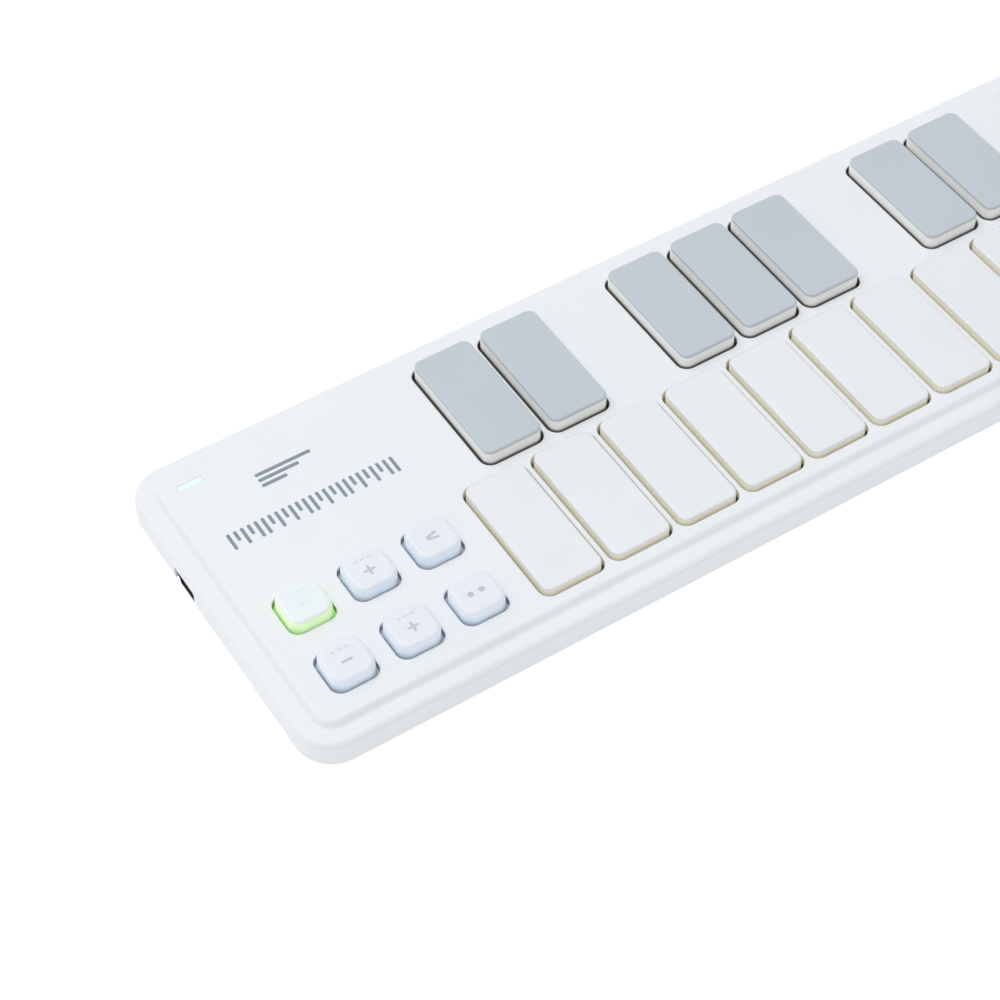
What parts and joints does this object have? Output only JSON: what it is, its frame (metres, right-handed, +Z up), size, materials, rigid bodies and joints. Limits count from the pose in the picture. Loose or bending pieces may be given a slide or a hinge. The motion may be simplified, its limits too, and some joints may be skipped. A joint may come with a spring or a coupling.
{
  "type": "midi keyboard",
  "caption": "Slim white USB music keyboard with hinged tile keys in two rows, square light-up buttons at the left, a power light and a mini USB socket.",
  "frame": {"origin": "under the middle of the case, on the surface that the feet stand on", "axes": "+X along the keys towards the highest note, +Y to the rear, +Z up"},
  "size_m": [0.325, 0.083, 0.016],
  "materials": {
    "white_plastic": "fine satin texture",
    "base_plastic": "fine satin texture",
    "white_key_plastic": "semi-gloss",
    "grey_key_plastic": "semi-gloss",
    "button_plastic": "milky, satin",
    "lit_button_plastic": "milky, satin, lit from inside",
    "frame_plastic": "moulded",
    "rod_steel": "ground",
    "board_laminate": "solder mask",
    "dome_silicone": "matt silicone",
    "contact_gold": "plated",
    "chip_resin": "moulded resin",
    "can_metal": "drawn can",
    "light_emitter": "light-emitting chip",
    "lens_plastic": "clear, lit from inside",
    "socket_metal": "plated sheet",
    "socket_plastic": "moulded",
    "screw_steel": "zinc plated",
    "foot_rubber": "matt"
  },
  "bodies": {
    "case": {"top_case": "white_plastic", "bottom_case": "base_plastic", "rubber_feet": "foot_rubber", "key_frame": "frame_plastic", "white_key_pivot_rod": "rod_steel", "black_key_pivot_rod": "rod_steel", "main_circuit_board": "board_laminate", "white_key_dome_strip": "dome_silicone", "black_key_dome_strip": "dome_silicone", "button_dome_pad": "dome_silicone", "switch_contacts": "contact_gold", "microcontroller_chip": "chip_resin", "clock_crystal": "can_metal", "button_lights": "light_emitter", "power_light": "light_emitter", "power_light_lens": "lens_plastic", "usb_socket_shell": "socket_metal", "usb_socket_insert": "socket_plastic", "usb_socket_contacts": "contact_gold", "case_screws": "screw_steel", "board_screws": "screw_steel", "frame_screws": "screw_steel"},
    "white_key_01": {"white_key_01": "white_key_plastic"},
    "white_key_02": {"white_key_02": "white_key_plastic"},
    "white_key_03": {"white_key_03": "white_key_plastic"},
    "white_key_04": {"white_key_04": "white_key_plastic"},
    "white_key_05": {"white_key_05": "white_key_plastic"},
    "white_key_06": {"white_key_06": "white_key_plastic"},
    "white_key_07": {"white_key_07": "white_key_plastic"},
    "white_key_08": {"white_key_08": "white_key_plastic"},
    "white_key_09": {"white_key_09": "white_key_plastic"},
    "white_key_10": {"white_key_10": "white_key_plastic"},
    "white_key_11": {"white_key_11": "white_key_plastic"},
    "white_key_12": {"white_key_12": "white_key_plastic"},
    "white_key_13": {"white_key_13": "white_key_plastic"},
    "white_key_14": {"white_key_14": "white_key_plastic"},
    "white_key_15": {"white_key_15": "white_key_plastic"},
    "black_key_01": {"black_key_01": "grey_key_plastic"},
    "black_key_02": {"black_key_02": "grey_key_plastic"},
    "black_key_03": {"black_key_03": "grey_key_plastic"},
    "black_key_04": {"black_key_04": "grey_key_plastic"},
    "black_key_05": {"black_key_05": "grey_key_plastic"},
    "black_key_06": {"black_key_06": "grey_key_plastic"},
    "black_key_07": {"black_key_07": "grey_key_plastic"},
    "black_key_08": {"black_key_08": "grey_key_plastic"},
    "black_key_09": {"black_key_09": "grey_key_plastic"},
    "black_key_10": {"black_key_10": "grey_key_plastic"},
    "button_1": {"button_1": "button_plastic"},
    "button_2": {"button_2": "button_plastic"},
    "button_3": {"button_3": "button_plastic"},
    "button_4": {"button_4": "lit_button_plastic"},
    "button_5": {"button_5": "button_plastic"},
    "button_6": {"button_6": "button_plastic"}
  },
  "joints": [
    {"name": "white_key_01_press", "type": "hinge", "parent": "case", "child": "white_key_01", "pos_m": [-0.09728, 0.00097, 0.0092], "axis": [1, 0, 0], "range_deg": [0, 3.4], "stiffness_Nm_per_rad": 0.2, "springref_deg": -2.86, "deforming": ["white_key_dome_strip"]},
    {"name": "white_key_02_press", "type": "hinge", "parent": "case", "child": "white_key_02", "pos_m": [-0.08067, 0.00097, 0.0092], "axis": [1, 0, 0], "range_deg": [0, 3.4], "stiffness_Nm_per_rad": 0.2, "springref_deg": -2.86, "deforming": ["white_key_dome_strip"]},
    {"name": "white_key_03_press", "type": "hinge", "parent": "case", "child": "white_key_03", "pos_m": [-0.06407, 0.00097, 0.0092], "axis": [1, 0, 0], "range_deg": [0, 3.4], "stiffness_Nm_per_rad": 0.2, "springref_deg": -2.86, "deforming": ["white_key_dome_strip"]},
    {"name": "white_key_04_press", "type": "hinge", "parent": "case", "child": "white_key_04", "pos_m": [-0.04748, 0.00097, 0.0092], "axis": [1, 0, 0], "range_deg": [0, 3.4], "stiffness_Nm_per_rad": 0.2, "springref_deg": -2.86, "deforming": ["white_key_dome_strip"]},
    {"name": "white_key_05_press", "type": "hinge", "parent": "case", "child": "white_key_05", "pos_m": [-0.03087, 0.00097, 0.0092], "axis": [1, 0, 0], "range_deg": [0, 3.4], "stiffness_Nm_per_rad": 0.2, "springref_deg": -2.86, "deforming": ["white_key_dome_strip"]},
    {"name": "white_key_06_press", "type": "hinge", "parent": "case", "child": "white_key_06", "pos_m": [-0.01427, 0.00097, 0.0092], "axis": [1, 0, 0], "range_deg": [0, 3.4], "stiffness_Nm_per_rad": 0.2, "springref_deg": -2.86, "deforming": ["white_key_dome_strip"]},
    {"name": "white_key_07_press", "type": "hinge", "parent": "case", "child": "white_key_07", "pos_m": [0.00232, 0.00097, 0.0092], "axis": [1, 0, 0], "range_deg": [0, 3.4], "stiffness_Nm_per_rad": 0.2, "springref_deg": -2.86, "deforming": ["white_key_dome_strip"]},
    {"name": "white_key_08_press", "type": "hinge", "parent": "case", "child": "white_key_08", "pos_m": [0.01893, 0.00097, 0.0092], "axis": [1, 0, 0], "range_deg": [0, 3.4], "stiffness_Nm_per_rad": 0.2, "springref_deg": -2.86, "deforming": ["white_key_dome_strip"]},
    {"name": "white_key_09_press", "type": "hinge", "parent": "case", "child": "white_key_09", "pos_m": [0.03553, 0.00097, 0.0092], "axis": [1, 0, 0], "range_deg": [0, 3.4], "stiffness_Nm_per_rad": 0.2, "springref_deg": -2.86, "deforming": ["white_key_dome_strip"]},
    {"name": "white_key_10_press", "type": "hinge", "parent": "case", "child": "white_key_10", "pos_m": [0.05212, 0.00097, 0.0092], "axis": [1, 0, 0], "range_deg": [0, 3.4], "stiffness_Nm_per_rad": 0.2, "springref_deg": -2.86, "deforming": ["white_key_dome_strip"]},
    {"name": "white_key_11_press", "type": "hinge", "parent": "case", "child": "white_key_11", "pos_m": [0.06872, 0.00097, 0.0092], "axis": [1, 0, 0], "range_deg": [0, 3.4], "stiffness_Nm_per_rad": 0.2, "springref_deg": -2.86, "deforming": ["white_key_dome_strip"]},
    {"name": "white_key_12_press", "type": "hinge", "parent": "case", "child": "white_key_12", "pos_m": [0.08532, 0.00097, 0.0092], "axis": [1, 0, 0], "range_deg": [0, 3.4], "stiffness_Nm_per_rad": 0.2, "springref_deg": -2.86, "deforming": ["white_key_dome_strip"]},
    {"name": "white_key_13_press", "type": "hinge", "parent": "case", "child": "white_key_13", "pos_m": [0.10193, 0.00097, 0.0092], "axis": [1, 0, 0], "range_deg": [0, 3.4], "stiffness_Nm_per_rad": 0.2, "springref_deg": -2.86, "deforming": ["white_key_dome_strip"]},
    {"name": "white_key_14_press", "type": "hinge", "parent": "case", "child": "white_key_14", "pos_m": [0.11853, 0.00097, 0.0092], "axis": [1, 0, 0], "range_deg": [0, 3.4], "stiffness_Nm_per_rad": 0.2, "springref_deg": -2.86, "deforming": ["white_key_dome_strip"]},
    {"name": "white_key_15_press", "type": "hinge", "parent": "case", "child": "white_key_15", "pos_m": [0.13512, 0.00097, 0.0092], "axis": [1, 0, 0], "range_deg": [0, 3.4], "stiffness_Nm_per_rad": 0.2, "springref_deg": -2.86, "deforming": ["white_key_dome_strip"]},
    {"name": "black_key_01_press", "type": "hinge", "parent": "case", "child": "black_key_01", "pos_m": [-0.08897, 0.03553, 0.0092], "axis": [1, 0, 0], "range_deg": [0, 3.5], "stiffness_Nm_per_rad": 0.2, "springref_deg": -2.86, "deforming": ["black_key_dome_strip"]},
    {"name": "black_key_02_press", "type": "hinge", "parent": "case", "child": "black_key_02", "pos_m": [-0.07237, 0.03553, 0.0092], "axis": [1, 0, 0], "range_deg": [0, 3.5], "stiffness_Nm_per_rad": 0.2, "springref_deg": -2.86, "deforming": ["black_key_dome_strip"]},
    {"name": "black_key_03_press", "type": "hinge", "parent": "case", "child": "black_key_03", "pos_m": [-0.03918, 0.03553, 0.0092], "axis": [1, 0, 0], "range_deg": [0, 3.5], "stiffness_Nm_per_rad": 0.2, "springref_deg": -2.86, "deforming": ["black_key_dome_strip"]},
    {"name": "black_key_04_press", "type": "hinge", "parent": "case", "child": "black_key_04", "pos_m": [-0.02258, 0.03553, 0.0092], "axis": [1, 0, 0], "range_deg": [0, 3.5], "stiffness_Nm_per_rad": 0.2, "springref_deg": -2.86, "deforming": ["black_key_dome_strip"]},
    {"name": "black_key_05_press", "type": "hinge", "parent": "case", "child": "black_key_05", "pos_m": [-0.00598, 0.03553, 0.0092], "axis": [1, 0, 0], "range_deg": [0, 3.5], "stiffness_Nm_per_rad": 0.2, "springref_deg": -2.86, "deforming": ["black_key_dome_strip"]},
    {"name": "black_key_06_press", "type": "hinge", "parent": "case", "child": "black_key_06", "pos_m": [0.02722, 0.03553, 0.0092], "axis": [1, 0, 0], "range_deg": [0, 3.5], "stiffness_Nm_per_rad": 0.2, "springref_deg": -2.86, "deforming": ["black_key_dome_strip"]},
    {"name": "black_key_07_press", "type": "hinge", "parent": "case", "child": "black_key_07", "pos_m": [0.04383, 0.03553, 0.0092], "axis": [1, 0, 0], "range_deg": [0, 3.5], "stiffness_Nm_per_rad": 0.2, "springref_deg": -2.86, "deforming": ["black_key_dome_strip"]},
    {"name": "black_key_08_press", "type": "hinge", "parent": "case", "child": "black_key_08", "pos_m": [0.07702, 0.03553, 0.0092], "axis": [1, 0, 0], "range_deg": [0, 3.5], "stiffness_Nm_per_rad": 0.2, "springref_deg": -2.86, "deforming": ["black_key_dome_strip"]},
    {"name": "black_key_09_press", "type": "hinge", "parent": "case", "child": "black_key_09", "pos_m": [0.09362, 0.03553, 0.0092], "axis": [1, 0, 0], "range_deg": [0, 3.5], "stiffness_Nm_per_rad": 0.2, "springref_deg": -2.86, "deforming": ["black_key_dome_strip"]},
    {"name": "black_key_10_press", "type": "hinge", "parent": "case", "child": "black_key_10", "pos_m": [0.11023, 0.03553, 0.0092], "axis": [1, 0, 0], "range_deg": [0, 3.5], "stiffness_Nm_per_rad": 0.2, "springref_deg": -2.86, "deforming": ["black_key_dome_strip"]},
    {"name": "button_1_press", "type": "slide", "parent": "case", "child": "button_1", "axis": [0, 0, -1], "range_m": [0, 0.001], "stiffness_N_per_m": 1000, "springref_m": -0.0005, "deforming": ["button_dome_pad"]},
    {"name": "button_2_press", "type": "slide", "parent": "case", "child": "button_2", "axis": [0, 0, -1], "range_m": [0, 0.001], "stiffness_N_per_m": 1000, "springref_m": -0.0005, "deforming": ["button_dome_pad"]},
    {"name": "button_3_press", "type": "slide", "parent": "case", "child": "button_3", "axis": [0, 0, -1], "range_m": [0, 0.001], "stiffness_N_per_m": 1000, "springref_m": -0.0005, "deforming": ["button_dome_pad"]},
    {"name": "button_4_press", "type": "slide", "parent": "case", "child": "button_4", "axis": [0, 0, -1], "range_m": [0, 0.001], "stiffness_N_per_m": 1000, "springref_m": -0.0005, "deforming": ["button_dome_pad"]},
    {"name": "button_5_press", "type": "slide", "parent": "case", "child": "button_5", "axis": [0, 0, -1], "range_m": [0, 0.001], "stiffness_N_per_m": 1000, "springref_m": -0.0005, "deforming": ["button_dome_pad"]},
    {"name": "button_6_press", "type": "slide", "parent": "case", "child": "button_6", "axis": [0, 0, -1], "range_m": [0, 0.001], "stiffness_N_per_m": 1000, "springref_m": -0.0005, "deforming": ["button_dome_pad"]}
  ]
}
